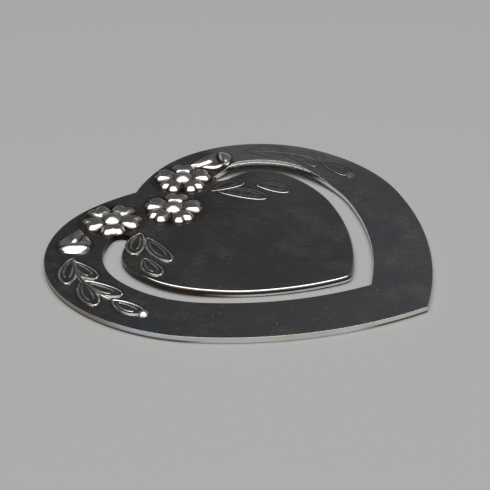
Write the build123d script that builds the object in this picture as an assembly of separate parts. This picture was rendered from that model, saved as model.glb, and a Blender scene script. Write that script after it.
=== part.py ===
"""Heart-shaped clip bookmark in sheet silver, with flowers and leaves round the root of its tongue.

Millimetres, +Z up. The heart lies flat with its tip towards -Y and its cleft towards +Y. The origin is the middle of
the heart's length and width, on the underside that rests on a page or a table.
"""
import os
from math import asin, atan2, cos, degrees, radians, sin, sqrt

from build123d import *

# Heart outline: four tangent arcs a side. An angle is that of the outward normal, in degrees clockwise from the top.
heart_width = 45.0
brow_radius = 23.2
lobe_radius = 14.6
flank_radius = 19.9
side_radius = 41.3
brow_end_angle = -7.0
lobe_end_angle = 80.0
flank_end_angle = 123.0

# Sheet, band and the slot that cuts the tongue free
sheet_thickness = 0.7
edge_break = 0.12
band_width = 6.4
slot_width = 2.1
slot_end_angle = 12.0

# Tongue: flat at its root, then curling up a little towards the tip
flat_length = 4.4
tip_rise = 0.8

# Flowers: domed and notched petals round a bead. The middle one hangs below the outer two, clear of them.
ornament_offset = -0.8
flower_setback = 3.3
flower_shift = 2.94
flower_drop = 3.85
flower_gap = 0.2
middle_flower_gap = 0.75
petal_count = 5
petal_radius = 1.35
petal_edge = 0.2
petal_dome = 0.3
petal_ring_radius = 2.25
petal_notch_radius = 0.4
petal_notch_depth = 0.4
flower_turns = {"left": 15.0, "middle": 31.0, "right": 38.0}
bead_radius = 1.25
bead_edge = 0.25
bead_dome = 0.4
eye_thickness = 0.2

# Buds beside the outer flowers: the round end level with the flower, the point slanting past it
bud_radius = 1.95
bud_length = 3.75
bud_rise = 0.65
bud_rim = 0.15
bud_gap = 0.73
bud_heading = 91.0
bud_slant = 34.0

# Leaves: a raised rim and midrib round two sunk halves
leaf_length = 5.4
leaf_width = 1.95
leaf_relief = 0.36
leaf_sink = 0.2
leaf_rim = 0.28
leaf_rib = 0.22
leaf_end_share = 0.2
leaf_clearance = 0.3

# Sprays along the band
stem_width = 0.5
stem_relief = 0.3
stem_place_share = 0.5
stem_bud_gap = 1.4
stem_sweep = 53.0
spray_bead_radius = 0.42
spray_bead_crown_radius = 0.2
spray_bead_rise = 0.4

# Leaves of a spray: angle from the stem's start, splay outwards from the stem, length as a share
spray_leaf_shares = [
    (0.0, 6.0, 1.0),
    (4.0, -30.0, 0.84),
    (24.0, 7.0, 1.0),
    (25.0, -27.0, 1.0),
    (51.0, 2.0, 0.8),
]

# Leaves at the tongue's root: side of the seam, distance from it as a share of a leaf's width, place across as a share
# of the half width, heading, length as a share
root_leaf_shares = {
    "upper": (1, 0.77, 0.71, 31.0, 0.89),
    "middle": (-1, 0.0, 0.55, -112.0, 0.58),
    "lower": (-1, 0.0, 0.76, -112.0, 0.74),
}

overrun = 5.0


def along(angle, length):
    """Vector of a length along the outward normal that stands at an angle clockwise from the top."""
    return Vector(length * sin(radians(angle)), length * cos(radians(angle)))


def arc_centres():
    """Centres of the right half's brow, lobe, flank and side arcs, with the heart's length centred on the origin."""
    flank = Vector(heart_width / 2 - flank_radius, 0)
    lobe = flank + along(lobe_end_angle, flank_radius - lobe_radius)
    brow = lobe + along(brow_end_angle, lobe_radius - brow_radius)
    side = flank + along(flank_end_angle, flank_radius - side_radius)
    top = lobe.Y + lobe_radius
    tip = side.Y - sqrt(side_radius**2 - side.X**2)
    shift = Vector(0, -(top + tip) / 2)
    return [centre + shift for centre in (brow, lobe, flank, side)]


brow_centre, lobe_centre, flank_centre, side_centre = arc_centres()

tongue_inset = band_width + slot_width
tongue_half_width = heart_width / 2 - tongue_inset
tongue_tip = side_centre.Y - sqrt((side_radius - tongue_inset) ** 2 - side_centre.X**2)
slot_end = lobe_centre + along(slot_end_angle, lobe_radius - band_width - slot_width / 2)
flower_reach = petal_ring_radius + petal_radius
bloom = Vector(slot_end.X - flower_shift, slot_end.Y + flower_setback)
nest_drop = sqrt(max(0, (2 * flower_reach + flower_gap) ** 2 - bloom.X**2))
middle_bloom = bloom.Y - max(flower_drop, nest_drop)
seam = middle_bloom - flower_reach - middle_flower_gap - leaf_clearance
bud_place = bloom + along(bud_heading, flower_reach + bud_gap + bud_radius)
stem_radius = lobe_radius - band_width * stem_place_share
bud_angle = degrees(atan2(bud_place.X - lobe_centre.X, bud_place.Y - lobe_centre.Y))
stem_start_angle = bud_angle + degrees((bud_radius + stem_bud_gap) / stem_radius)
stem_end_angle = stem_start_angle + stem_sweep


def half_arcs(inset, first_angle=None):
    """Right half of the outline moved inwards, as centre, radius and angles; first_angle starts it on the lobe."""
    brow = brow_radius - inset
    side = side_radius - inset
    cleft_angle = -degrees(asin(brow_centre.X / brow))
    tip_angle = 180 - degrees(asin(-side_centre.X / side))
    arcs = [] if first_angle is not None else [(brow_centre, brow, cleft_angle, brow_end_angle)]
    lobe_start = brow_end_angle if first_angle is None else first_angle
    arcs.append((lobe_centre, lobe_radius - inset, lobe_start, lobe_end_angle))
    arcs.append((flank_centre, flank_radius - inset, lobe_end_angle, flank_end_angle))
    arcs.append((side_centre, side, flank_end_angle, tip_angle))
    return arcs


def arc_edge(centre, radius, start, end, hand):
    """One arc of the outline, on the right (hand 1) or the left (hand -1)."""
    points = [centre + along(angle, radius) for angle in (start, (start + end) / 2, end)]
    return ThreePointArc(*[(hand * point.X, point.Y) for point in points])


def heart(inset):
    """Face of the heart with its outline moved inwards."""
    return make_face([arc_edge(*arc, hand) for hand in (1, -1) for arc in half_arcs(inset)])


def slot():
    """Face of the slot round the tongue, with a round end under each outer flower."""
    edges = []
    for hand in (1, -1):
        for inset in (band_width, tongue_inset):
            edges += [arc_edge(*arc, hand) for arc in half_arcs(inset, slot_end_angle)]
        outer = lobe_centre + along(slot_end_angle, lobe_radius - band_width)
        inner = lobe_centre + along(slot_end_angle, lobe_radius - tongue_inset)
        crown = slot_end + along(slot_end_angle - 90, slot_width / 2)
        edges.append(ThreePointArc(*[(hand * point.X, point.Y) for point in (outer, crown, inner)]))
    return make_face(edges)


def tongue_outline():
    """Face of the inner heart below the seam where it bends."""
    below = Pos(0, seam - heart_width / 2) * Rectangle(heart_width, heart_width)
    return heart(tongue_inset) & below


def soften(plate):
    """Breaks the upper outer rim of a sheet piece: every upper edge that lies on the heart's own arcs."""
    radii = (brow_radius, lobe_radius, flank_radius, side_radius)
    rim = [
        edge
        for edge in plate.edges().filter_by(GeomType.CIRCLE)
        if edge.bounding_box().min.Z > sheet_thickness / 2 and round(edge.radius, 3) in radii
    ]
    return chamfer(rim, edge_break)


def outer_frame():
    """Heart-shaped band with the bridge that carries the flowers and the tongue's root."""
    return soften(extrude(heart(0) - slot() - tongue_outline(), sheet_thickness))


def tongue():
    """Inner heart from the seam to its tip: a bent strip of sheet trimmed to the outline."""
    rise_start = seam - flat_length
    run = rise_start - tongue_tip
    bend_radius = (run**2 + tip_rise**2) / (2 * tip_rise)
    sweep = degrees(asin((run + slot_width) / bend_radius))

    def on_bend(radius, share):
        angle = radians(sweep * share)
        return (rise_start - radius * sin(angle), bend_radius - radius * cos(angle))

    under = [on_bend(bend_radius, share) for share in (0, 1 / 2, 1)]
    upper = [on_bend(bend_radius - sheet_thickness, share) for share in (1, 1 / 2, 0)]
    profile = make_face(
        [
            Line((seam, 0), under[0]),
            ThreePointArc(*under),
            Line(under[-1], upper[0]),
            ThreePointArc(*upper),
            Line(upper[-1], (seam, sheet_thickness)),
            Line((seam, sheet_thickness), (seam, 0)),
        ]
    )
    strip = extrude(Plane.YZ * profile, heart_width / 2, both=True)
    depth = tip_rise + sheet_thickness + 2 * overrun
    return strip & Pos(0, 0, -overrun) * extrude(tongue_outline(), depth)


def crowned(outline, top, half_span, dome):
    """Outline raised to a top and crowned by a ball that falls by the dome at half the span; its axis lies level."""
    ball = (half_span**2 + dome**2) / (2 * dome)
    return extrude(outline, top) & Pos(0, 0, top - ball) * Rot(90, 0, 0) * Sphere(ball)


def button(radius, edge, dome):
    """Round button on the XY plane: an upright edge and a dome above it."""
    return crowned(Circle(radius), edge + dome, radius, dome)


def flower(turn):
    """Open flower on the XY plane: domed petals notched at the rim, a bead and the eye that joins them."""
    notch_place = petal_radius - petal_notch_depth + petal_notch_radius
    notch = Pos(notch_place, 0) * extrude(Circle(petal_notch_radius), overrun, both=True)
    petal = Pos(petal_ring_radius, 0) * (button(petal_radius, petal_edge, petal_dome) - notch)
    petals = [Rot(0, 0, turn + 360 * index / petal_count) * petal for index in range(petal_count)]
    eye = extrude(Circle(petal_ring_radius), eye_thickness)
    return eye + petals + button(bead_radius, bead_edge, bead_dome)


def bud():
    """Drop-shaped swelling bud on the XY plane: round end at the origin, point towards +X."""
    lean = asin(bud_radius / bud_length)
    foot = (bud_radius * sin(lean), bud_radius * cos(lean))
    heel = (foot[0], -foot[1])
    outline = make_face(
        [
            ThreePointArc(foot, (-bud_radius, 0), heel),
            Line(heel, (bud_length, 0)),
            Line((bud_length, 0), foot),
        ]
    )
    return crowned(outline, bud_rise, bud_length, bud_rise - bud_rim)


def leaf(length, width):
    """Pointed leaf from the origin along +X, with its rim and midrib raised."""
    tip = (length, 0)
    blade = make_face(
        [ThreePointArc((0, 0), (length / 2, side * width / 2), tip) for side in (1, -1)]
    )
    solid = extrude(blade, leaf_relief)
    end = length * leaf_end_share
    for side in (1, -1):
        near = (end, side * leaf_rib / 2)
        far = (length - end, side * leaf_rib / 2)
        crest = (length / 2, side * (width / 2 - leaf_rim))
        sunk = make_face([Line(near, far), ThreePointArc(far, crest, near)])
        solid -= Pos(0, 0, leaf_relief - leaf_sink) * extrude(sunk, leaf_relief)
    return solid


def spray():
    """Right-hand spray along the band: a curved stem, its leaves and an end bead, on the XY plane."""
    inner = stem_radius - stem_width / 2
    outer = stem_radius + stem_width / 2
    sides = [arc_edge(lobe_centre, radius, stem_start_angle, stem_end_angle, 1) for radius in (inner, outer)]
    ends = [
        Line(*[lobe_centre + along(angle, radius) for radius in (inner, outer)])
        for angle in (stem_start_angle, stem_end_angle)
    ]
    solid = extrude(make_face(sides + ends), stem_relief)
    for turn, splay, length_share in spray_leaf_shares:
        angle = stem_start_angle + turn
        foot = lobe_centre + along(angle, stem_radius)
        place = Pos(foot.X, foot.Y) * Rot(0, 0, splay - angle)
        solid += place * leaf(leaf_length * length_share, leaf_width)
    tip = place * Pos(leaf_length * length_share, 0)
    bead = Cone(spray_bead_radius, spray_bead_crown_radius, spray_bead_rise)
    return solid + tip * Pos(0, 0, spray_bead_rise / 2) * bead


def root_leaf(hand, where, off_share, across_share, heading, length_share):
    """Leaf beside the seam: where is 1 on the root, -1 on the tongue; hand is 1 at the right, -1 at the left."""
    off_seam = where * (leaf_clearance + leaf_width * off_share)
    foot = (hand * tongue_half_width * across_share + ornament_offset, seam + off_seam)
    turn = heading if hand < 0 else 180 - heading
    width = leaf_width * (1 + length_share) / 2
    return Pos(*foot) * Rot(0, 0, turn) * leaf(leaf_length * length_share, width)


def ornaments():
    """Every applied piece on the XY plane, by name."""
    pieces = {}
    for side, hand in (("left", -1), ("right", 1)):
        turn = bud_slant if hand < 0 else 180 - bud_slant
        pieces[side + "_flower"] = Pos(hand * bloom.X + ornament_offset, bloom.Y) * flower(flower_turns[side])
        pieces[side + "_bud"] = Pos(hand * bud_place.X + ornament_offset, bud_place.Y) * Rot(0, 0, turn) * bud()
        pieces[side + "_frame_spray"] = spray() if hand > 0 else mirror(spray(), Plane.YZ)
        for place, shares in root_leaf_shares.items():
            pieces[side + "_" + place + "_leaf"] = root_leaf(hand, *shares)
    pieces["middle_flower"] = Pos(ornament_offset, middle_bloom) * flower(flower_turns["middle"])
    return pieces


def main():
    os.makedirs("parts", exist_ok=True)
    pieces = {"outer_frame": outer_frame(), "tongue": tongue()}
    for name, piece in ornaments().items():
        pieces[name] = Pos(0, 0, sheet_thickness) * piece
    for name, piece in pieces.items():
        export_step(piece, "parts/" + name + ".step")
        print(name, len(piece.solids()), round(piece.volume, 3))
    print("seam", round(seam, 3), "tongue tip", round(tongue_tip, 3))


main()
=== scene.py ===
import bmesh
import bpy
import numpy as np
from mathutils import Matrix, Vector


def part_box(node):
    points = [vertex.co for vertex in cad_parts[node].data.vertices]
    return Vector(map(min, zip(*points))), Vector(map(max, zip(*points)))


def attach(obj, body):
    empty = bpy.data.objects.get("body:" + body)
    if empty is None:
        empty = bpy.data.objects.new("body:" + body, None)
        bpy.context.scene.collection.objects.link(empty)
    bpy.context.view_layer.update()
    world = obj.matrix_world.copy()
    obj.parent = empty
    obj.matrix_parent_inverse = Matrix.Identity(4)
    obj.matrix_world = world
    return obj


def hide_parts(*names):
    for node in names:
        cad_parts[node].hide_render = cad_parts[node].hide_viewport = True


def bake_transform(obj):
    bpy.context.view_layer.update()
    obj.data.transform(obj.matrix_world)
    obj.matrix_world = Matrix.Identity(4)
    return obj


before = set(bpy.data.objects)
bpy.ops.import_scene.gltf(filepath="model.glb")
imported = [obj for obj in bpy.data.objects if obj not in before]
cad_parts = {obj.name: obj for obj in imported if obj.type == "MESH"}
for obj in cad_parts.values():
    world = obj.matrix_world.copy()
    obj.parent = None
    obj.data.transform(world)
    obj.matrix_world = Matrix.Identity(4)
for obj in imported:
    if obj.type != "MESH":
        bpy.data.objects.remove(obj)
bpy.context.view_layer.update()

mm = 0.001  # shapes are worked out in millimetres and put into the mesh in metres
hands = {"left": -1, "right": 1}  # the sign of x on each side
pictureRight = (0.61, -0.79)  # in plan, towards the right of the picture
pictureBack = (0.79, 0.61)  # in plan, away from the viewer


def nodeBox(name):
    # Lowest and highest corner of one of the frame's nodes
    low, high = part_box(name)
    return np.array(low) / mm, np.array(high) / mm


def smooth(value, start, end):
    # 3t^2 - 2t^3 with t from 0 at start to 1 at end
    t = np.clip((value - start) / (end - start), 0, 1)
    return t * t * (3 - 2 * t)


def window(value, start, full, fade, end):
    # Rises smoothly from 0 at start to 1 at full, and falls from 1 at fade to 0 at end
    return smooth(value, start, full) * (1 - smooth(value, fade, end))


def bump(value, place, width):
    # exp(-((value - place) / width)^2)
    return np.exp(-(((value - place) / width) ** 2))


def rounded(share):
    # sin(pi/2 s) with the share s held between 0 and 1
    return np.sin(np.pi / 2 * np.clip(share, 0, 1))


def spoke(angle, radius):
    # radius * (sin a, cos a): points round a centre, a in degrees clockwise from the top
    a = np.radians(np.asarray(angle, float))
    return radius * np.stack((np.sin(a), np.cos(a)), -1)


# Heart: four tangent arcs a side, angles in degrees clockwise from the top, outwards
frameLow, frameHigh = nodeBox("outer_frame")
tongueLow, tongueHigh = nodeBox("tongue")
heart = {
    "width": frameHigh[0] - frameLow[0],
    "thickness": frameHigh[2] - frameLow[2],
    "brow": 23.2,  # radii of the arcs, from the cleft to the tip
    "lobe": 14.6,
    "flank": 19.9,
    "side": 41.3,
    "browEnd": -7.0,  # where each arc meets the next
    "lobeEnd": 80.0,
    "flankEnd": 123.0,
    "band": 6.4,
    "slot": 2.1,
    "slotStart": 12.0,
    "seam": tongueHigh[1],
    "bendSpan": 3.0,  # how far above and below the seam the root bends
}
top = heart["thickness"]
sink = 0.03  # applied pieces reach this far into the sheet


def arcCentres():
    # Tangent arcs share a normal, so each centre lies on it, the difference of the two radii away
    flank = np.array([heart["width"] / 2 - heart["flank"], 0.0])
    lobe = flank + spoke(heart["lobeEnd"], heart["flank"] - heart["lobe"])
    brow = lobe + spoke(heart["browEnd"], heart["lobe"] - heart["brow"])
    side = flank + spoke(heart["flankEnd"], heart["flank"] - heart["side"])
    tip = side[1] - np.sqrt(heart["side"] ** 2 - side[0] ** 2)
    middle = np.array([0.0, (lobe[1] + heart["lobe"] + tip) / 2])
    return {"brow": brow - middle, "lobe": lobe - middle, "flank": flank - middle, "side": side - middle}


centre = arcCentres()
slotRadius = heart["slot"] / 2
slotEnd = centre["lobe"] + spoke(heart["slotStart"], heart["lobe"] - heart["band"] - slotRadius)
split = slotEnd[1] + slotRadius  # level of the line between the frame's sheet and the tongue's


def arcRun(name, inset, start, end, count):
    # centre + (radius - inset) * (sin a, cos a), a from start to end, the last point left to the next arc
    a = np.linspace(start, end, count, endpoint=False)
    return centre[name] + spoke(a, heart[name] - inset)


def sideRun(inset, count):
    # The side arc ends on the heart's middle line: sin(a) = -centre / radius there
    radius = heart["side"] - inset
    end = 180 - np.degrees(np.arcsin(-centre["side"][0] / radius))
    run = arcRun("side", inset, heart["flankEnd"], end, count)
    tip = centre["side"] + spoke(end, radius)
    return np.vstack((run, [[0.0, tip[1]]]))


def lowerRun(inset, sheet):
    # Right half of the outline moved inwards, from the slot's start round lobe and flank to the tip
    lobe = arcRun("lobe", inset, heart["slotStart"], heart["lobeEnd"], sheet["lobeSteps"])
    flank = arcRun("flank", inset, heart["lobeEnd"], heart["flankEnd"], sheet["flankSteps"])
    return np.vstack((lobe, flank, sideRun(inset, sheet["sideSteps"])))


def edgeDistance(x, y):
    # Distance inwards from the outline: radius less the distance from the centre of the arc that faces it
    p = np.stack((np.abs(x), y), -1)
    away = {name: p - centre[name] for name in centre}
    turn = {name: np.degrees(np.arctan2(away[name][..., 0], away[name][..., 1])) for name in centre}
    angle = {name: (turn[name] + 90) % 360 - 90 for name in centre}  # past the tip it goes on from 180
    inset = {name: heart[name] - np.linalg.norm(away[name], axis=-1) for name in centre}
    low = np.where(angle["flank"] < heart["flankEnd"], inset["flank"], inset["side"])
    high = np.where(angle["lobe"] < heart["browEnd"], inset["brow"], inset["lobe"])
    return np.where(angle["lobe"] < heart["lobeEnd"], high, low)


# Years of use have twisted the clip a little: on the right the band's inner edge and the tongue's root
# stand up, and the tongue's left edge a touch
twist = {
    "lift": 1.0,
    "liftAngles": (12.0, 32.0, 76.0, 132.0),  # round the right lobe: starts, full, fades, gone
    "lean": 1.5,
    "rootLift": 0.75,
    "rootAcross": (-1.0, 12.0),
    "rootDown": (0.0, 3.8, 3.8, 15.0),  # the same four places, down from the split line
    "leftLift": 0.28,
    "leftAcross": (6.0, 13.0),
    "leftDown": (3.0, 9.0, 13.0, 20.0),
}


def twistLift(x, y):
    # lift * window(angle round the right lobe) * share of the band's width from the outline
    away = np.stack((x, y), -1) - centre["lobe"]
    angle = np.degrees(np.arctan2(away[..., 0], away[..., 1]))
    share = np.clip(edgeDistance(x, y) / heart["band"], 0, 1)
    return twist["lift"] * window(angle, *twist["liftAngles"]) * share * (x > 0)


def leanWall(grid):
    # The lifted band turns about its outline, so points below the face move in towards the lobe's centre:
    # lean * lift * depth below the face / band
    away = grid[..., :2] - centre["lobe"]
    inward = -away / np.linalg.norm(away, axis=-1, keepdims=True)
    shift = twist["lean"] * twistLift(grid[..., 0], grid[..., 1]) * (top - grid[..., 2]) / heart["band"]
    grid[..., :2] += inward * shift[..., None]


def rootLift(x, y):
    # rootLift * rise to the right plus leftLift * rise to the left, each * window down the tongue, so that
    # neither the split line nor the tip lifts
    down = split - y
    right = smooth(x, *twist["rootAcross"]) * window(down, *twist["rootDown"])
    left = smooth(-x, *twist["leftAcross"]) * window(down, *twist["leftDown"])
    return twist["rootLift"] * right + twist["leftLift"] * left


# Tongue: flat at its root, curled up a little towards a blunted tip
tongueSheet = {
    "flat": 4.4,
    "tipRise": 0.18,
    "blunt": 0.6,  # how far the tip is rounded off
    "bluntSlope": 0.53,
    "bluntSpan": (2.0, 5.0),
    "rim": (0.21, 0.32),  # how far in and how far down a rim is rounded
    "foot": (0.06, 0.06),
    "wall": (0.3, 0.22),  # levels down the wall
    "tone": 0.8,
    # the wall's tone is painted shade, dark brown below the rim's glint
    "wallShade": 0.08,
    "rimShadeDepths": (0.1, 0.22),  # depths over which the rim turns from the face's tone to the wall's painted shade
    "rootSpan": (0.0, 5.0),  # down from the split line, over which plain silver turns to the face's tone
    "shadeFadeDown": (-0.5, 5.5),  # towards the tip, over which the painted shade leaves the lower wall
    "shadeFadeLevel": (0.22, 0.3),
    "capSteps": 40,
    "lobeSteps": 76,
    "flankSteps": 60,
    "sideSteps": 70,
    "acrossSteps": 120,
    "underSteps": 12,
    "rimSteps": 9,
    "sharp": 40.0,  # degrees past which an edge is shaded sharp
}


def curl(y):
    # Rise of the tongue: flat at its root, then R - sqrt(R^2 - d^2), R such that the tip rises by tipRise
    start = heart["seam"] - tongueSheet["flat"]
    run = start - tongueLow[1]
    radius = (run**2 + tongueSheet["tipRise"] ** 2) / (2 * tongueSheet["tipRise"])
    d = np.clip(start - y, 0, None)
    return radius - np.sqrt(radius**2 - d**2)


mergeDistance = 0.0005  # points this close become one
sliverDistance = 0.0001  # edges this short are taken out


def gridFaces(rows, columns, wrapRows, wrapColumns):
    # Point (i, j) is number i * columns + j; a cell joins four neighbours, round to the start if closed
    i = np.arange(rows if wrapRows else rows - 1)[:, None]
    j = np.arange(columns if wrapColumns else columns - 1)[None, :]
    below = (i + 1) % rows
    beside = (j + 1) % columns
    corners = (i * columns + j, i * columns + beside, below * columns + beside, below * columns + j)
    return np.stack(corners, -1).reshape(-1, 4)


def makePiece(name, grids, finish, sharp):
    # A grid is (points in mm, closed along rows, closed along columns, tone for the finish)
    points, faces, tones = [], [], []
    count = 0
    for grid, wrapRows, wrapColumns, tone in grids:
        points.append(grid.reshape(-1, 3) * mm)
        faces.append(gridFaces(grid.shape[0], grid.shape[1], wrapRows, wrapColumns) + count)
        tones.append(np.broadcast_to(tone, grid.shape[:2]).ravel())
        count += grid.shape[0] * grid.shape[1]
    mesh = bpy.data.meshes.new(name)
    mesh.from_pydata(np.vstack(points), [], np.vstack(faces).tolist())
    shade = mesh.attributes.new("tone", "FLOAT", "POINT")
    shade.data.foreach_set("value", np.hstack(tones).astype(np.float32))
    shell = bmesh.new()
    shell.from_mesh(mesh)
    bmesh.ops.remove_doubles(shell, verts=shell.verts, dist=mergeDistance * mm)
    bmesh.ops.dissolve_degenerate(shell, edges=shell.edges, dist=sliverDistance * mm)
    bmesh.ops.holes_fill(shell, edges=[edge for edge in shell.edges if edge.is_boundary])
    bmesh.ops.recalc_face_normals(shell, faces=shell.faces)
    shell.to_mesh(mesh)
    shell.free()
    mesh.shade_smooth()
    mesh.set_sharp_from_angle(angle=np.radians(sharp))
    piece = bpy.data.objects.new(name, mesh)
    bpy.context.scene.collection.objects.link(piece)
    mesh.materials.append(finish)
    return piece


def seated(face, tone, lift):
    # Polar face closed below: its last ring again, sunk into the sheet at level lift, then one point
    foot = np.column_stack((face[-1, :, :2], np.broadcast_to(lift - sink, len(face[-1]))))
    hub = np.broadcast_to(foot.mean(0), foot.shape)
    dark = np.zeros((2, len(foot)))
    return np.vstack((face, foot[None], hub[None])), False, True, np.vstack((tone, dark))


# Shader maths: a Link wraps a socket, and sums on it add Math nodes
class Link:
    def __init__(self, tree, socket):
        self.tree = tree
        self.socket = socket

    def node(self, kind, settings, sockets, output=0):
        made = self.tree.nodes.new(kind)
        for key, value in settings.items():
            setattr(made, key, value)
        for key, value in sockets.items():
            if isinstance(value, Link):
                self.tree.links.new(value.socket, made.inputs[key])
            else:
                made.inputs[key].default_value = value
        return Link(self.tree, made.outputs[output] if made.outputs else None)

    def math(self, operation, first, second):
        return self.node("ShaderNodeMath", {"operation": operation}, {0: first, 1: second})

    def __add__(self, other):
        return self.math("ADD", self, other)

    def __sub__(self, other):
        return self.math("SUBTRACT", self, other)

    def __mul__(self, other):
        return self.math("MULTIPLY", self, other)

    def __rsub__(self, other):
        return self.math("SUBTRACT", other, self)

    __radd__ = __add__
    __rmul__ = __mul__

    def step(self, low, high):
        # Rises smoothly from 0 at low to 1 at high
        sockets = {"Value": self, "From Min": low, "From Max": high}
        return self.node("ShaderNodeMapRange", {"interpolation_type": "SMOOTHSTEP"}, sockets)

    def blend(self, first, second):
        # Colour that runs from the first at 0 to the second at 1; a Mix node's colours are sockets 6 and 7
        return self.node("ShaderNodeMix", {"data_type": "RGBA"}, {0: self, 6: first, 7: second}, 2)

    def along(self, direction):
        # Length of a vector along a direction
        sockets = {0: self, 1: direction}
        return self.node("ShaderNodeVectorMath", {"operation": "DOT_PRODUCT"}, sockets, "Value")


def newFinish(name):
    # Gives the finish, the place on the object in millimetres, and the tone that the mesh carries
    finish = bpy.data.materials.new(name)
    finish.use_nodes = True
    finish.node_tree.nodes.clear()
    start = Link(finish.node_tree, None)
    metres = start.node("ShaderNodeTexCoord", {}, {}, "Object")
    place = start.node("ShaderNodeVectorMath", {"operation": "SCALE"}, {0: metres, "Scale": 1 / mm})
    tone = start.node("ShaderNodeAttribute", {"attribute_name": "tone"}, {}, "Fac")
    return finish, place, tone


def pattern(place, scale, detail=3.0, roughness=0.55, turn=0.0, size=None, mask=None):
    # Noise over the object; a size turns it in the sheet's plane and draws it out along its own axes, and a
    # mask makes spots of it that rise from 0 to 1 between two levels
    if size:
        spin = (0, 0, np.radians(turn))
        turned = place.node("ShaderNodeMapping", {}, {"Vector": place, "Rotation": spin})
        place = place.node("ShaderNodeVectorMath", {"operation": "MULTIPLY"}, {0: turned, 1: size})
    sockets = {"Vector": place, "Scale": scale, "Detail": detail, "Roughness": roughness}
    noise = place.node("ShaderNodeTexNoise", {}, sockets)
    return noise.step(*mask) if mask else noise


def closeFinish(place, colour, roughness, metal, height, relief):
    # Height times relief gives the bump, in millimetres
    normal = place.node("ShaderNodeBump", {}, {"Height": height, "Distance": relief * mm, "Strength": 1.0})
    sockets = {"Base Color": colour, "Roughness": roughness, "Metallic": metal, "Normal": normal}
    shader = place.node("ShaderNodeBsdfPrincipled", {}, sockets)
    place.node("ShaderNodeOutputMaterial", {}, {"Surface": shader})


# Brushed sheet: hair lines run with the brushing and cross lines over it
sheetLook = {
    "silver": (0.88, 0.88, 0.87, 1),
    "blue": (0.74, 0.78, 0.84, 1),
    "olive": (0.76, 0.72, 0.56, 1),
    "brown": (0.22, 0.175, 0.13, 1),
    "blackTarnishAndShade": (0.025, 0.02, 0.018, 1),
    "oliveShare": 0.6,
    "brownSpan": (0.0, 0.75),  # over which loss of tone the silver turns brown, and the brown near black: tarnish round the ornaments, painted shade on the walls
    "blackTarnishAndShadeSpan": (0.72, 0.98),
    "unmarkedSpan": (0.2, 0.8),  # over which tone the dust and the lines show
    "brush": {"scale": 1.6, "turn": 52.0, "size": (0.25, 9.0, 1.0)},
    "lineSpan": (0.44, 0.64),
    "hair": {"scale": 1.2, "detail": 1.0, "turn": 61.0, "size": (0.3, 14.0, 1.0), "mask": (0.66, 0.74)},
    "cross": {"scale": 1.0, "detail": 1.0, "turn": -9.0, "size": (0.4, 12.0, 1.0), "mask": (0.70, 0.78)},
    "cloud": {"scale": 0.11, "detail": 4.0, "mask": (0.38, 0.68)},
    "dust": {"scale": 0.2, "detail": 5.0, "roughness": 0.6, "mask": (0.45, 0.72)},
    "grain": {"scale": 3.4, "detail": 4.0, "roughness": 0.75, "mask": (0.4, 0.65)},
    "speck": {"scale": 2.6, "detail": 2.0, "mask": (0.68, 0.74)},
    "polish": 0.13,
    "dulled": {"cloud": 0.03, "dust": 0.05, "scratch": 0.05, "speck": 0.06, "tarnish": 0.2},
    "haze": {"lines": 0.009, "grain": 0.005, "scratch": 0.03, "speck": 0.07},
    "dustHaze": {"lines": 0.012, "grain": 0.032},
    "height": {"brush": 0.4, "scratch": 0.6, "speck": 0.3},
    "relief": 0.0006,
}


def sheetSilver():
    # Tone 1 is open silver, 0.3 brown and 0 near black, the low tones being tarnish round the ornaments and
    # painted shade on the walls and at the left slot's end; a little of the metal's share goes to dust,
    # lines, scratches and specks
    finish, place, tone = newFinish("sheetSilver")
    marks = ("brush", "hair", "cross", "cloud", "dust", "grain", "speck")
    brush, hair, cross, cloud, dust, grain, speck = [pattern(place, **sheetLook[mark]) for mark in marks]
    lines = brush.step(*sheetLook["lineSpan"])
    scratch = hair + cross
    tint = cloud.blend(sheetLook["silver"], sheetLook["blue"])
    dusty = (dust * sheetLook["oliveShare"]).blend(tint, sheetLook["olive"])
    # Brown, then near black, with loss of tone: tarnish round the ornaments, painted shade on the walls
    browned = (1 - tone).step(*sheetLook["brownSpan"]).blend(dusty, sheetLook["brown"])
    colour = (1 - tone).step(*sheetLook["blackTarnishAndShadeSpan"]).blend(browned, sheetLook["blackTarnishAndShade"])
    unmarked = tone.step(*sheetLook["unmarkedSpan"])
    inDust, allOver = sheetLook["dustHaze"], sheetLook["haze"]
    haze = dust * (lines * inDust["lines"] + grain * inDust["grain"])
    haze = haze + lines * allOver["lines"] + grain * allOver["grain"]
    haze = haze + scratch * allOver["scratch"] + speck * allOver["speck"]
    dulled = sheetLook["dulled"]
    roughness = sheetLook["polish"] + cloud * dulled["cloud"] + dust * dulled["dust"]
    roughness = roughness + scratch * dulled["scratch"] + speck * dulled["speck"]
    roughness = roughness + (1 - unmarked) * dulled["tarnish"]
    raised = sheetLook["height"]
    height = brush * raised["brush"] - scratch * raised["scratch"] + speck * raised["speck"]
    closeFinish(place, colour, roughness, 1 - haze * unmarked, height, sheetLook["relief"])
    return finish


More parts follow.
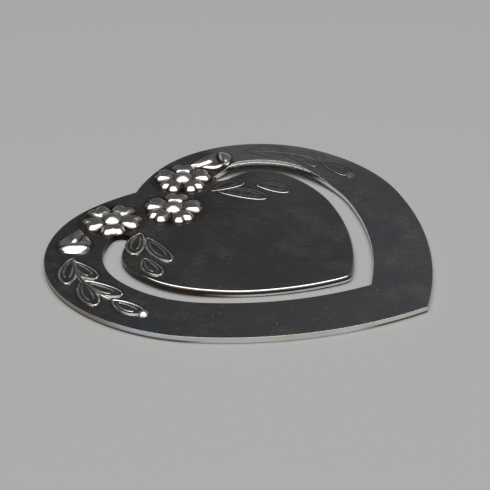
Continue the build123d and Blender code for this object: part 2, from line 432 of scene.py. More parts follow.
ornamentLook = {
    "silver": (0.80, 0.79, 0.77, 1),
    "worn": (0.66, 0.64, 0.61, 1),
    "tarnish": (0.13, 0.105, 0.08, 1),
    "patch": {"scale": 0.9, "detail": 4.0},
    "hair": {"scale": 2.0, "detail": 1.0, "turn": 30.0, "size": (0.6, 8.0, 1.0), "mask": (0.62, 0.72)},
    "silverSpan": (0.35, 0.7),  # over which level of the patches worn silver turns bright
    "ragged": 0.35,  # how far the patches, about their middle level, move the tarnish's edge
    "patchMiddle": 0.5,
    "crestSpan": (0.1, 0.62),  # over which tone tarnish turns to silver, and silver is rubbed
    "rubSpan": (0.6, 1.0),
    "mattSpan": (0.0, 0.5),  # over which tone above 1, and which level of the patches, it is rubbed matt
    "mattPatch": (0.38, 0.6),
    "polish": 0.13,
    "dulled": {"rub": 0.11, "matt": 0.17, "tarnish": 0.2, "hair": 0.08},
    "haze": 0.056,
    "plainHaze": 0.25,  # share of the haze where nothing is rubbed
    "hazeBase": 0.5,
    "height": {"patch": 0.6, "hair": 0.5},
    "relief": 0.0025,
}


def ornamentSilver():
    # Tone 0 is tarnish, 0.6 silver like the sheet and 1 rubbed silver; above 1 a crest is rubbed matt
    finish, place, tone = newFinish("ornamentSilver")
    patch = pattern(place, **ornamentLook["patch"])
    hair = pattern(place, **ornamentLook["hair"])
    ragged = (patch - ornamentLook["patchMiddle"]) * ornamentLook["ragged"]
    crest = (tone + ragged).step(*ornamentLook["crestSpan"])
    silver = patch.step(*ornamentLook["silverSpan"]).blend(ornamentLook["worn"], ornamentLook["silver"])
    colour = crest.blend(ornamentLook["tarnish"], silver)
    rubbed = tone.step(*ornamentLook["rubSpan"])
    matt = (tone - 1).step(*ornamentLook["mattSpan"]) * patch.step(*ornamentLook["mattPatch"])
    dulled = ornamentLook["dulled"]
    roughness = ornamentLook["polish"] + rubbed * dulled["rub"] + matt * dulled["matt"]
    roughness = roughness + (1 - crest) * dulled["tarnish"] + hair * dulled["hair"]
    plain = ornamentLook["plainHaze"]
    metal = 1 - (patch + ornamentLook["hazeBase"]) * (rubbed * (1 - plain) + plain) * ornamentLook["haze"]
    raised = ornamentLook["height"]
    height = patch * raised["patch"] - hair * raised["hair"]
    closeFinish(place, colour, roughness, metal, height, ornamentLook["relief"])
    return finish


silverSheet = sheetSilver()
silverOrnament = ornamentSilver()
print("finishes made")

# Places of the ornament, as the solids have them but for the nudge and the left flower's turn
bouquet = {
    "offset": -0.8,  # the bouquet's middle line
    "shift": 2.94,  # outer flowers, from the slot's end towards the middle and towards the cleft
    "setback": 3.3,
    "drop": 3.85,  # middle flower, below the outer ones
    "nudge": (0.34, 0.26),
    "turns": {"left": 9.0, "right": 38.0, "middle": 31.0},
}
bloom = np.array([slotEnd[0] - bouquet["shift"], slotEnd[1] + bouquet["setback"]])
flowerPlaces = {
    "left": np.array([bouquet["offset"] - bloom[0], bloom[1]]) + bouquet["nudge"],
    "right": np.array([bouquet["offset"] + bloom[0], bloom[1]]) + bouquet["nudge"],
    "middle": np.array([bouquet["offset"], bloom[1] - bouquet["drop"]]) + bouquet["nudge"],
}

flower = {
    "reach": 3.6,
    "petals": 5,
    "lobeAt": 2.60,  # the two lobes of a heart-shaped petal: place, turn off its axis, radius
    "lobeTurn": 12.5,
    "lobe": 0.90,
    "gap": 2.3,  # radius of the outline between petals
    "bevel": 0.75,
    "edge": 0.08,
    "dome": 0.46,
    "rootShare": 0.75,  # share of the dome beside the bead, and how far out it is full
    "rootSpan": 0.5,
    "notchSlope": 0.6,
    "notchRound": 0.15,
    "crease": 0.02,
    "creaseWidth": 0.2,
    "creaseSpan": (1.6, 3.0),
    "sideDrop": 0.4,
    "bead": 1.25,
    "beadFoot": 0.32,
    "beadRise": 0.48,
    "beadTone": (-0.05, 0.25),  # over which distance inside the bead, or share of the dome, it is clean
    "petalTone": (0.05, 0.5),
    "around": 480,
    "beadRings": 18,
    "petalRings": 44,
    "sharp": 55.0,
}


def flowerGrid(place, phase):
    # Polar grid: rings 0 to bead radius carry the bead, the rest run out to the outline of the petals,
    # R(d) = c cos(d - t) + sqrt(q^2 - c^2 sin^2(d - t)): lobes of radius q at c, turned t off a petal's axis
    span = 360 / flower["petals"]
    angle = np.linspace(0, 360, flower["around"], endpoint=False)
    off = (angle - phase + span / 2) % span - span / 2
    lean = np.radians(np.abs(off) - flower["lobeTurn"])
    under = flower["lobe"] ** 2 - (flower["lobeAt"] * np.sin(lean)) ** 2
    lobed = flower["lobeAt"] * np.cos(lean) + np.sqrt(np.clip(under, 0, None))
    reach = np.where(under > 0, lobed, flower["gap"])
    inner = np.linspace(0, 1, flower["beadRings"])[:, None] * flower["bead"]
    share = np.linspace(0, 1, flower["petalRings"])[:, None]
    radius = np.vstack((inner * np.ones_like(off), flower["bead"] + share * (reach - flower["bead"])))
    along = radius * np.cos(np.radians(off))
    across = radius * np.sin(np.radians(off))
    # Height of a petal: edge + dome sin(pi/2 m) less a crease towards its notch, m the distance inside its
    # outline over the bevel's width; it drops by less towards its neighbours and beside the bead
    lobeAlong = flower["lobeAt"] * np.cos(np.radians(flower["lobeTurn"]))
    lobeAcross = flower["lobeAt"] * np.sin(np.radians(flower["lobeTurn"]))
    ahead = np.clip(along - lobeAlong, 0, None)
    inLobe = flower["lobe"] - np.hypot(ahead, np.clip(np.abs(across) - lobeAcross, 0, None))
    fromNotch = np.hypot(across, flower["notchRound"]) - flower["notchRound"]
    inNotch = np.sqrt(flower["lobe"] ** 2 - lobeAcross**2) - ahead + flower["notchSlope"] * fromNotch
    inSide = radius * np.sin(np.radians(span / 2 - np.abs(off)))
    beside = rounded(inSide / flower["bevel"])
    full = rounded(np.minimum(inLobe, inNotch) / flower["bevel"])
    full = full * (1 - flower["sideDrop"] * (1 - beside))
    crease = bump(across, 0, flower["creaseWidth"]) * smooth(along, *flower["creaseSpan"])
    root = smooth(radius, flower["bead"], flower["bead"] + flower["rootSpan"])
    rise = flower["rootShare"] + (1 - flower["rootShare"]) * root
    petal = flower["edge"] + flower["dome"] * full * rise - flower["crease"] * crease * full
    # Height of the bead: foot + rise (1 - (r / bead)^2)
    bead = flower["beadFoot"] + flower["beadRise"] * (1 - (radius / flower["bead"]) ** 2)
    isBead = np.arange(len(radius))[:, None] < flower["beadRings"]
    height = np.where(isBead, bead, petal)
    beadTone = smooth(flower["bead"] - radius, *flower["beadTone"])
    tone = np.where(isBead, beadTone, smooth(full * beside, *flower["petalTone"]))
    x = place[0] + radius * np.cos(np.radians(angle))
    y = place[1] + radius * np.sin(np.radians(angle))
    return seated(np.stack((x, y, top + height), -1), tone, top)


for name, place in flowerPlaces.items():
    grid = flowerGrid(place, bouquet["turns"][name])
    piece = makePiece(name + "_flower_bloom", [grid], silverOrnament, flower["sharp"])
    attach(piece, "frame")
    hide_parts(name + "_flower")
print("flowers made")

# Bud: a drop whose round end carries a rolled lip and whose point turns to the flower beside it
bud = {
    "radius": 1.95,
    "length": 3.75,
    "gap": 0.73,  # between flower and bud
    "heading": 91.0,  # from the flower, clockwise from the top
    "slant": 34.0,  # how far the point turns up from the line to the flower
    "rim": 0.08,
    "edge": 0.2,  # share of the radius over which the body rises
    "body": 0.24,
    "taper": 0.4,
    "lip": 0.5,
    "lipWidth": 1.3,
    "lipFlat": 0.8,
    "lipEdge": 0.06,  # share of the radius over which the lip rises
    "lipEnd": -0.45,  # where the lip ends along the drop, and how that changes across it
    "lipCurve": (0.16, 0.1),
    "roll": 0.35,
    "crest": 0.16,
    "crestWidth": 0.34,
    "crestLine": (0.25, -0.2),  # where the crest runs: across = first + second * along
    "crestSpan": (0.0, 0.9),
    "groove": 0.14,
    "grooveWidth": 0.2,
    "grooveSpan": (0.2, 0.9),
    "grooveBeside": 0.55,
    "grooveBehind": 1.0,
    "edgeTone": 0.15,
    "lipTone": 0.08,  # share of the lip's width over which it gets clean
    "dark": 0.85,  # loss of tone in the grooves
    "darkShift": 0.1,
    "around": 200,
    "rings": 64,
    "sharp": 60.0,
}
budPlace = bloom + spoke(bud["heading"], flower["reach"] + bud["gap"] + bud["radius"])


def budGrid(hand):
    # Polar grid on a drop, a circle with two tangents to its point: R(t) = r / cos(tn - t) short of the
    # tangent point's angle tn = acos(r / length), and r beyond it
    angle = np.linspace(-np.pi, np.pi, bud["around"], endpoint=False)
    share = np.linspace(0, 1, bud["rings"])[:, None]
    tangent = np.arccos(bud["radius"] / bud["length"])
    reach = bud["radius"] / np.cos(np.clip(tangent - np.abs(angle), 0, None))
    along = share * reach * np.cos(angle)
    across = share * reach * np.sin(angle)
    # Height: a full lip round the blunt end, lip * sin(pi/2 m) with m the distance from the outline over
    # its width, a groove behind it, and a body with a crest that runs to the point
    middle = bud["crestLine"][0] + bud["crestLine"][1] * along
    inside = np.clip((bud["radius"] - np.hypot(along, bud["lipFlat"] * across)) / bud["lipWidth"], 0, 1)
    lip = bud["lip"] * rounded(inside) * np.clip((1 - share) / bud["lipEdge"], 0, 1)
    crest = bud["crest"] * bump(across, middle, bud["crestWidth"]) * smooth(along, *bud["crestSpan"])
    behind = bump(along, bud["lipEnd"], bud["grooveBehind"])
    beside = bump(across, middle - bud["grooveBeside"], bud["grooveWidth"])
    beside = beside * smooth(along, *bud["grooveSpan"])
    edge = smooth(1 - share, 0, bud["edge"])
    body = bud["body"] * (1 - bud["taper"] * smooth(along, 0, bud["length"])) + crest
    body = edge * (body - bud["groove"] * np.maximum(behind, beside))
    lipEnd = bud["lipEnd"] - bud["lipCurve"][0] * across - bud["lipCurve"][1] * across**2
    rolled = 1 - smooth(along, lipEnd - bud["roll"], lipEnd)
    height = bud["rim"] + body + rolled * np.clip(lip - body, 0, None)
    dark = np.maximum(bump(along, lipEnd + bud["darkShift"], bud["grooveWidth"]), beside)
    bodyTone = bud["edgeTone"] + (1 - bud["edgeTone"]) * edge
    tone = np.maximum(bodyTone, rolled * smooth(inside, 0, bud["lipTone"])) * (1 - bud["dark"] * dark)
    turn = np.radians(bud["slant"])
    x = bouquet["offset"] + hand * (budPlace[0] - along * np.cos(turn) + across * np.sin(turn))
    y = budPlace[1] + along * np.sin(turn) + across * np.cos(turn)
    lift = top + twistLift(x, y)
    return seated(np.stack((x, y, lift + height), -1), tone, lift[-1])


for side, hand in hands.items():
    piece = makePiece(side + "_bud_drop", [budGrid(hand)], silverOrnament, bud["sharp"])
    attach(piece, "frame")
    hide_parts(side + "_bud")
print("buds made")

# Leaves stand crisp at the left and are worn nearly flat at the right
leaf = {
    "length": 5.4,
    "width": 2.15,
    "baseShare": 0.75,  # powers of the outline at its foot and tip
    "tipShare": 0.5,
    "sag": 0.1,
    "swell": 0.07,
    "ends": (0.05, 0.03),  # shares of the length over which the blade rises at its foot and tip
    "ridge": 0.06,
    "ridgeWidth": 0.11,
    "rim": 0.16,
    "innerFrom": 0.16,  # the inner line's stretch of the length, its ends, width and height
    "innerTo": 0.8,
    "innerEnds": (0.08, 0.05),
    "innerShare": 0.42,
    "innerRidge": 0.8,
    "rimHollow": 0.24,  # dark hollows beside the two lines
    "innerHollow": 0.2,
    "hollowWidth": 0.1,
    "faceTone": 0.6,
    "hollowTone": 0.35,
    "lineTone": (0.4, 0.5),  # on every line, and more on a crisp one
    "wear": {-1: 1.0, 1: 0.14},  # share of the relief that is left, by side, on the sprays and at the root
    "rootWear": {-1: 1.0, 1: 0.19},
    "rows": 72,
    "columns": 65,
    "sharp": 70.0,
}


def leafHalf(s, width):
    # Half width at a share s of the length: width/2 * s^a (1 - s)^b over its own maximum
    a, b = leaf["baseShare"], leaf["tipShare"]
    s = np.clip(s, 0, 1)
    fullest = (a / (a + b)) ** a * (b / (a + b)) ** b
    return width / 2 * s**a * (1 - s) ** b / fullest


def leafSag(s, width):
    # The blade's middle line bows to one side by sag * width * sin(pi s)
    return leaf["sag"] * width * np.sin(np.pi * s)


leafSpots = []  # where leaves lie, for the tarnish round them


def leafGrid(foot, heading, length, width, hand, wear):
    # Low blade with a raised line just inside its edge and a second closed line inside that one, each
    # ridge * exp(-(d / ridgeWidth)^2), d the distance from the line
    turn = np.radians(heading)
    leafSpots.append((foot, turn, length, width, hand))
    s = (1 - np.cos(np.pi * np.linspace(0, 1, leaf["rows"])))[:, None] / 2
    t = np.sin(np.pi / 2 * np.linspace(-1, 1, leaf["columns"]))[None, :]
    half = leafHalf(s, width)
    inward = half * (1 - np.abs(t))
    outward = half * np.abs(t)
    start, stop = leaf["innerFrom"], leaf["innerTo"]
    inner = leafHalf((s - start) / (stop - start), width * leaf["innerShare"])
    inside = window(s, start, start + leaf["innerEnds"][0], stop - leaf["innerEnds"][1], stop)
    rimLine = bump(inward, leaf["rim"], leaf["ridgeWidth"])
    innerLine = bump(outward, inner, leaf["ridgeWidth"]) * inside * leaf["innerRidge"]
    lines = np.maximum(rimLine, innerLine)
    ends = smooth(s, 0, leaf["ends"][0]) * smooth(1 - s, 0, leaf["ends"][1])
    edge = np.clip(inward / leaf["rim"], 0, 1)
    height = (leaf["swell"] + leaf["ridge"] * lines) * ends * edge * wear
    along = s * length + 0 * t
    across = half * t + leafSag(s, width)
    x = foot[0] + hand * (along * np.cos(turn) - across * np.sin(turn))
    y = foot[1] + along * np.sin(turn) + across * np.cos(turn)
    onTongue = edgeDistance(x, y) > heart["band"] + heart["slot"]
    lift = top + np.where(onTongue, curl(y) + rootLift(x, y), twistLift(x, y))
    face = np.stack((x, y, lift + height - sink * (1 - ends * edge)), -1)
    under = np.stack((x, y, lift - sink), -1)[:, ::-1]
    rimHollow = bump(inward, leaf["rim"] + leaf["rimHollow"], leaf["hollowWidth"])
    innerHollow = bump(outward, inner - leaf["innerHollow"], leaf["hollowWidth"]) * inside
    crisp = leaf["lineTone"][0] + leaf["lineTone"][1] * wear
    tone = leaf["faceTone"] - leaf["hollowTone"] * np.maximum(rimHollow, innerHollow) + crisp * lines
    return np.hstack((face, under)), False, True, np.hstack((tone, np.zeros_like(tone)))


# Spray: a stem with leaves, each (degrees along the stem, splay, share of the full length), and an end bead
stem = {
    "width": 0.5,
    "relief": 0.2,
    "budGap": 1.4,
    "sweep": 53.0,
    "place": 0.5,  # share of the band's width
    "ends": (0.12, 0.2),
    "taper": 0.7,
    "leaves": ((0.0, 6.0, 1.0), (4.0, -30.0, 0.84), (24.0, 7.0, 1.0), (25.0, -27.0, 1.0), (51.0, 2.0, 0.8)),
    "steps": 70,
    "columns": 12,
}
stemRadius = heart["lobe"] - heart["band"] * stem["place"]
budAway = budPlace - centre["lobe"]
stemStart = np.degrees(np.arctan2(*budAway)) + np.degrees((bud["radius"] + stem["budGap"]) / stemRadius)
dot = {"radius": 0.55, "rise": 0.24, "foot": 0.08, "around": 40, "rings": 12}


def stemGrid(hand):
    # Half-round wire along an arc about the lobe's centre, tapering to nothing at both ends
    s = np.linspace(0, 1, stem["steps"])[:, None]
    a = np.linspace(0, 2 * np.pi, stem["columns"], endpoint=False)[None, :]
    taper = (smooth(s, 0, stem["ends"][0]) * smooth(1 - s, 0, stem["ends"][1])) ** stem["taper"]
    radius = stemRadius + stem["width"] / 2 * np.cos(a) * taper
    angle = np.radians(stemStart + stem["sweep"] * s)
    x = hand * (centre["lobe"][0] + radius * np.sin(angle))
    y = centre["lobe"][1] + radius * np.cos(angle)
    relief = np.where(np.sin(a) > 0, stem["relief"] * leaf["wear"][hand], sink)
    rise = relief * np.sin(a) * taper
    tone = np.clip(np.sin(a), 0, 1) * taper
    return np.stack((x, y, top + twistLift(x, y) + rise), -1), False, True, tone


def dotGrid(place, rise):
    # Small button: foot + rise (1 - s^2) over the radius
    angle = np.linspace(0, 2 * np.pi, dot["around"], endpoint=False)[None, :]
    s = rounded(np.linspace(0, 1, dot["rings"]))[:, None]
    x = place[0] + dot["radius"] * s * np.cos(angle)
    y = place[1] + dot["radius"] * s * np.sin(angle)
    lift = top + twistLift(x, y)
    height = dot["foot"] + rise * (1 - s**2)
    return seated(np.stack((x, y, lift + height), -1), np.ones_like(x), lift[-1])


def sprayGrids(hand):
    # Each leaf's foot is on the stem, and it heads along the stem's tangent turned by its splay
    wear = leaf["wear"][hand]
    grids = [stemGrid(hand)]
    for turn, splay, share in stem["leaves"]:
        angle = stemStart + turn
        foot = centre["lobe"] + spoke(angle, stemRadius)
        heading = splay - angle
        length = leaf["length"] * share
        grids.append(leafGrid(foot * (hand, 1), heading, length, leaf["width"], hand, wear))
    tip = foot + length * np.array([np.cos(np.radians(heading)), np.sin(np.radians(heading))])
    return grids + [dotGrid(tip * (hand, 1), dot["rise"] * wear)]


for side, hand in hands.items():
    grids = sprayGrids(hand)
    piece = makePiece(side + "_leaf_spray", grids, silverOrnament, leaf["sharp"])
    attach(piece, "frame")
    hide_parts(side + "_frame_spray")
print("sprays made")

# Root leaves: foot, tip and width of each on the right-hand side of the ornament's own middle line
rootLeaves = {
    "upper": ((6.0, 12.6), (10.1, 10.1), 2.3),
    "middle": ((6.4, 11.5), (8.9, 5.8), 2.2),
    "lower": ((10.2, 8.6), (11.9, 4.7), 2.2),
}
bendStart = (0.0, (heart["seam"] + heart["bendSpan"]) * mm, top * mm)
bendEnd = (0.0, (heart["seam"] - heart["bendSpan"]) * mm, top * mm)

for side, hand in hands.items():
    for level, (foot, tip, width) in rootLeaves.items():
        name = side + "_" + level
        run = np.subtract(tip, foot)
        heading = np.degrees(np.arctan2(run[1], run[0]))
        place = (bouquet["offset"] + hand * foot[0], foot[1])
        grid = leafGrid(place, heading, np.hypot(*run), width, hand, leaf["rootWear"][hand])
        piece = makePiece(name + "_root_leaf", [grid], silverOrnament, leaf["sharp"])
        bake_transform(piece)
        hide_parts(name + "_leaf")
print("root leaves made")

# Tarnish and painted shade on the sheets: (tone, start, end) is a tone short of start that turns to plain
# silver at end
tarnish = {
    "flower": (0.1, -0.6, 0.9),  # by the distance past the outline of a piece
    "leaf": (0.45, 0.0, 0.45),
    "bud": (0.3, -0.1, 0.5),
    "leftWall": (0.5, -18.0, -12.5),  # by the place along the picture's width
    "slotEnd": (0.0, 1.6, 6.0),  # painted shadow under the flower, by the distance from the left slot's end
    "faceLevel": 0.995,  # share of the thickness above which a point is on the face
    "underLevel": 0.01,
    "liftSpan": (0.4, 0.8),  # lift over which the right wall loses its painted shade, and levels at its foot
    "liftFoot": (0.04, 0.14),
    "nearSpan": (-11.0, -5.0, 8.0, 14.0),  # the near outer wall's stretch without painted shade, and levels at its foot
    "nearFoot": (0.004, 0.02),
    "nearDepth": 0.1,
}


def stained(away, tone, start, end):
    # tone + (1 - tone) * smooth step from start to end
    return tone + (1 - tone) * smooth(away, start, end)


def leafAway(x, y, foot, turn, length, width, hand):
    # Distance from a leaf's outline in its own axes, 0 inside it
    dx, dy = hand * (x - foot[0]), y - foot[1]
    along = dx * np.cos(turn) + dy * np.sin(turn)
    s = np.clip(along / length, 0, 1)
    across = dy * np.cos(turn) - dx * np.sin(turn) - leafSag(s, width)
    beyond = np.clip(np.maximum(-along, along - length), 0, None)
    return np.hypot(np.clip(np.abs(across) - leafHalf(s, width), 0, None), beyond)


def sheetTone(grid, tone):
    # The section's own tone, raised where walls carry no painted shade, then held down by tarnish and
    # painted shade on face and walls
    x, y, level = grid[..., 0], grid[..., 1], grid[..., 2]
    run = pictureRight[0] * x + pictureRight[1] * y
    depth = pictureBack[0] * x + pictureBack[1] * y
    inward = edgeDistance(x, y)
    # Face: dark ground close round the flowers, leaves and buds, tarnish with painted shade where they meet
    # the sheet
    ground = np.ones(grid.shape[:2])
    for place in flowerPlaces.values():
        away = np.hypot(x - place[0], y - place[1]) - flower["reach"]
        ground = np.minimum(ground, stained(away, *tarnish["flower"]))
    for spot in leafSpots:
        ground = np.minimum(ground, stained(leafAway(x, y, *spot), *tarnish["leaf"]))
    for hand in hands.values():
        away = np.hypot(x - bouquet["offset"] - hand * budPlace[0], y - budPlace[1]) - bud["radius"]
        ground = np.minimum(ground, stained(away, *tarnish["bud"]))
    # Walls: brown on the outside at the left, and painted black shadow where the left slot ends under the
    # flower
    wall = np.where(inward < heart["band"] / 2, stained(run, *tarnish["leftWall"]), 1)
    wall = np.minimum(wall, stained(np.hypot(x + slotEnd[0], y - slotEnd[1]), *tarnish["slotEnd"]))
    wall = np.where(level > tarnish["underLevel"], wall, 1)
    around = np.where(level > tarnish["faceLevel"] * top, ground, wall)
    # The lifted wall at the right and the near outer wall carry no painted shade nearly down to their foot
    lifted = smooth(twistLift(x, y), *tarnish["liftSpan"]) * smooth(level, *tarnish["liftFoot"])
    near = window(run, *tarnish["nearSpan"]) * (inward < tarnish["nearDepth"]) * (depth < 0)
    unmarked = np.maximum(lifted, near * smooth(level, *tarnish["nearFoot"]))
    return np.minimum(np.maximum(tone, unmarked), around)


def rimArc(size, steps):
    # Quarter of an ellipse at a rim: how far in from the edge, and how far below the face
    a = np.linspace(0, np.pi / 2, steps)
    return list(zip(size[0] * (1 - np.cos(a)), size[1] * (1 - np.sin(a))))


def wholeLoop(half):
    # The right half, then its mirror image run back to the start
    return np.vstack((half, half[-2:0:-1] * (-1, 1)))


def stackSection(section, closeLoop):
    # Section entries are (edge line, level, tone): gives points along the edges by places round the section
    lines = [(wholeLoop(edge) if closeLoop else edge, level) for edge, level, tone in section]
    grid = np.stack([np.column_stack((line, np.full(len(line), level))) for line, level in lines], 1)
    return grid, np.array([tone for edge, level, tone in section])


frameSheet = {
    "rim": (0.02, 0.02),  # how far in and how far down a rim is rounded
    "wall": ((0.32, 1.0), (0.23, 0.6), (0.15, 0.22)),  # levels down the wall, each with its tone; the lower tones are painted shade at the foot
    "tone": 1.0,
    # the foot's tone is painted shade where the wall meets the table
    "footShade": 0.22,
    "browSteps": 36,
    "crownSteps": 30,
    "lobeSteps": 130,
    "flankSteps": 80,
    "sideSteps": 100,
    "acrossSteps": 40,
    "underSteps": 8,
    "rimSteps": 5,
    "sharp": 40.0,
}


def outerEdge(inset):
    # Right half of the heart's outline moved inwards, from the cleft to the tip
    start = -np.degrees(np.arcsin(centre["brow"][0] / (heart["brow"] - inset)))
    brow = arcRun("brow", inset, start, heart["browEnd"], frameSheet["browSteps"])
    brow[0, 0] = 0.0
    crown = arcRun("lobe", inset, heart["browEnd"], heart["slotStart"], frameSheet["crownSteps"])
    return np.vstack((brow, crown, lowerRun(inset, frameSheet)))


def innerEdge(inset):
    # Right half of the band's inner edge: along the split line to the slot's end, then round to the tip
    count = frameSheet["browSteps"] + frameSheet["crownSteps"]
    line = np.stack((np.linspace(0, slotEnd[0], count), np.full(count, split)), -1)
    return np.vstack((line, lowerRun(inset, frameSheet)))


def frameGrid():
    # Closed band: up the outer rim, across the top, down the inner wall and back underneath, at each point
    # of the loop
    rim = rimArc(frameSheet["rim"], frameSheet["rimSteps"])
    outer = [(outerEdge(d), z) for d, z in rim]
    inner = [(innerEdge(heart["band"] - d), z) for d, z in rim]

    def across(count):
        return [(outer[-1][0] * (1 - s) + inner[-1][0] * s, 0.0) for s in np.linspace(0, 1, count)[1:-1]]

    upper = outer + across(frameSheet["acrossSteps"]) + inner[::-1]
    under = outer + across(frameSheet["underSteps"]) + inner[::-1]
    plain, dark = frameSheet["tone"], frameSheet["footShade"]
    section = [(edge, top - z, plain) for edge, z in upper]
    section += [(innerEdge(heart["band"]), level, tone) for level, tone in frameSheet["wall"]]
    section += [(edge, z, dark if z > 0 else plain) for edge, z in under[::-1]]
    section += [(outerEdge(0.0), level, tone) for level, tone in frameSheet["wall"][::-1]]
    grid, wall = stackSection(section, True)
    tone = sheetTone(grid, wall)
    lift = twistLift(grid[..., 0], grid[..., 1])
    leanWall(grid)
    grid[..., 2] += lift
    return grid, True, True, tone


def tongueEdge(inset):
    # Right half of the tongue: round the inside of the slot's end, down lobe, flank and side to a tip that
    # is blunted by slope * (sqrt(x^2 + blunt^2) - x)
    start = -np.degrees(np.arccos(slotRadius / (slotRadius + inset)))  # where it crosses the split line
    turn = np.linspace(start, heart["slotStart"] - 180, tongueSheet["capSteps"], endpoint=False)
    cap = slotEnd + spoke(turn, slotRadius + inset)
    low = lowerRun(heart["band"] + heart["slot"] + inset, tongueSheet)
    x = low[:, 0]
    rounding = tongueSheet["bluntSlope"] * (np.hypot(x, tongueSheet["blunt"]) - x)
    low[:, 1] += rounding * (1 - smooth(x, *tongueSheet["bluntSpan"]))
    return np.vstack((cap, low))


def tongueGrid():
    # Rows across the tongue from the split line to the tip, each a closed section: top, rim, underside, rim
    def ring(size, count):
        edges = [(tongueEdge(d), z) for d, z in rimArc(size, tongueSheet["rimSteps"])]
        inside = edges[-1][0]
        across = [(inside * (s, 1), 0.0) for s in np.linspace(-1, 1, count)[1:-1]]
        return [(edge * (-1, 1), z) for edge, z in edges] + across + edges[::-1]

    upper = ring(tongueSheet["rim"], tongueSheet["acrossSteps"])
    under = ring(tongueSheet["foot"], tongueSheet["underSteps"])
    plain, dark = tongueSheet["tone"], tongueSheet["wallShade"]
    turns = [smooth(z, *tongueSheet["rimShadeDepths"]) for edge, z in upper]
    section = [(edge, top - z, plain + (dark - plain) * turn) for (edge, z), turn in zip(upper, turns)]
    section += [(tongueEdge(0.0), level, dark) for level in tongueSheet["wall"]]
    section += [(edge, z, dark if z > 0 else plain) for edge, z in under[::-1]]
    section += [(tongueEdge(0.0) * (-1, 1), level, dark) for level in tongueSheet["wall"][::-1]]
    grid, wall = stackSection(section, False)
    # Faces are plain silver at the root; the painted shade on the lower part of the wall fades towards the
    # tip
    x, y, level = grid[..., 0], grid[..., 1], grid[..., 2]
    face = 1 - (1 - plain) * smooth(split - y, *tongueSheet["rootSpan"])
    unmarked = smooth(-y, *tongueSheet["shadeFadeDown"]) * (1 - smooth(level, *tongueSheet["shadeFadeLevel"]))
    tone = sheetTone(grid, np.where(wall == plain, face, np.maximum(wall, unmarked)))
    grid[..., 2] += curl(y) + rootLift(x, y)
    return grid, False, True, tone


framePiece = makePiece("frame_sheet", [frameGrid()], silverSheet, frameSheet["sharp"])
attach(framePiece, "frame")
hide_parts("outer_frame")
tonguePiece = makePiece("tongue_sheet", [tongueGrid()], silverSheet, tongueSheet["sharp"])
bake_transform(tonguePiece)
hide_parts("tongue")
print("sheets made")

# Studio: pale table, one large soft lamp overhead, and a dark room that is a little lighter to the right
# and low down, with a dim warm glow from the viewer's side; lengths in metres
studio = {
    "tableSize": 6.0,
    "tableDrop": 0.00002,
    "tableColour": (0.434, 0.434, 0.430, 1),
    "tableRoughness": 0.8,
    "tableGloss": 0.1,
    "lampPlace": (-0.035, -0.028, 0.50),
    "lampSize": (0.86, 0.64),
    "lampPower": 3.39,
    "brightSide": (*pictureRight, 0.0),
    "room": 0.037,
    "roomSlope": 0.112,
    "roomLow": 0.016,
    "roomHigh": 0.096,
    "roomGreen": 1.02,
    "roomBlue": 1.07,
    "skyline": 0.042,
    "skylineSpan": (0.22, 0.42),
    "fill": (0.30, 0.265, 0.245, 1),
    "fillSide": (-pictureBack[0], -pictureBack[1], 0.0),
    "fillSpan": (0.35, 0.85),
}


def makeTable():
    half = studio["tableSize"] / 2
    corners = [(-half, -half), (half, -half), (half, half), (-half, half)]
    mesh = bpy.data.meshes.new("table")
    mesh.from_pydata([(x, y, -studio["tableDrop"]) for x, y in corners], [], [(0, 1, 2, 3)])
    finish = bpy.data.materials.new("table")
    finish.use_nodes = True
    shader = finish.node_tree.nodes["Principled BSDF"]
    shader.inputs["Base Color"].default_value = studio["tableColour"]
    shader.inputs["Roughness"].default_value = studio["tableRoughness"]
    shader.inputs["Specular IOR Level"].default_value = studio["tableGloss"]
    mesh.materials.append(finish)
    table = bpy.data.objects.new("table", mesh)
    bpy.context.scene.collection.objects.link(table)


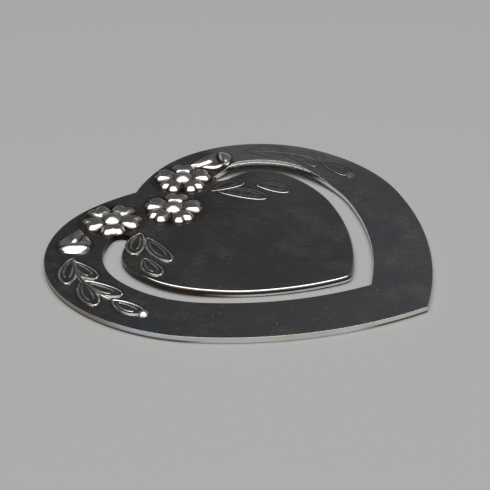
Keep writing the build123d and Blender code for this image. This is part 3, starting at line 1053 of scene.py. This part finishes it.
def makeLamp():
    # Faces the object, with its long side along the picture's width
    lamp = bpy.data.lights.new("softbox", "AREA")
    lamp.shape = "ELLIPSE"
    lamp.size, lamp.size_y = studio["lampSize"]
    lamp.energy = studio["lampPower"]
    box = bpy.data.objects.new("softbox", lamp)
    box.location = studio["lampPlace"]
    back = Vector(studio["lampPlace"]).normalized()
    up = back.cross(Vector(studio["brightSide"])).normalized()
    box.rotation_euler = Matrix((up.cross(back), up, back)).transposed().to_euler()
    bpy.context.scene.collection.objects.link(box)


def makeRoom():
    # Light by direction: room + slope * the share to the right, held between low and high, plus the skyline
    room = bpy.data.worlds.new("room")
    room.use_nodes = True
    ray = Link(room.node_tree, None).node("ShaderNodeTexCoord", {}, {}, "Generated")
    slope = studio["room"] + ray.along(studio["brightSide"]) * studio["roomSlope"]
    limits = {"Min": studio["roomLow"], "Max": studio["roomHigh"]}
    skyline = (1 - ray.along((0, 0, 1)).step(*studio["skylineSpan"])) * studio["skyline"]
    level = ray.node("ShaderNodeClamp", {}, {"Value": slope, **limits}) + skyline
    tints = {"Red": level, "Green": level * studio["roomGreen"], "Blue": level * studio["roomBlue"]}
    grey = ray.node("ShaderNodeCombineColor", {}, tints)
    glow = ray.along(studio["fillSide"]).step(*studio["fillSpan"]).blend(grey, studio["fill"])
    room.node_tree.links.new(glow.socket, room.node_tree.nodes["Background"].inputs["Color"])
    bpy.context.scene.world = room


# The photograph's viewing angle, distance and aim in millimetres
view = {
    "azimuth": -52.414,
    "elevation": 30.92,
    "distance": 155.735,
    "lookAt": (-1.728, 1.622),
    "angle": 20.0,
    "clipStart": 5.0,
}


def makeCamera():
    lens = bpy.data.cameras.new("camera")
    lens.angle = np.radians(view["angle"])
    lens.clip_start = view["clipStart"] * mm
    camera = bpy.data.objects.new("camera", lens)
    a, e = np.radians(view["azimuth"]), np.radians(view["elevation"])
    back = Vector((np.sin(a) * np.cos(e), -np.cos(a) * np.cos(e), np.sin(e)))
    camera.location = Vector((*view["lookAt"], top)) * mm + back * view["distance"] * mm
    camera.rotation_euler = (-back).to_track_quat("-Z", "Y").to_euler()
    bpy.context.scene.collection.objects.link(camera)
    bpy.context.scene.camera = camera


makeTable()
makeLamp()
makeRoom()
makeCamera()
bpy.context.scene.view_settings.view_transform = "Standard"
print("studio made")
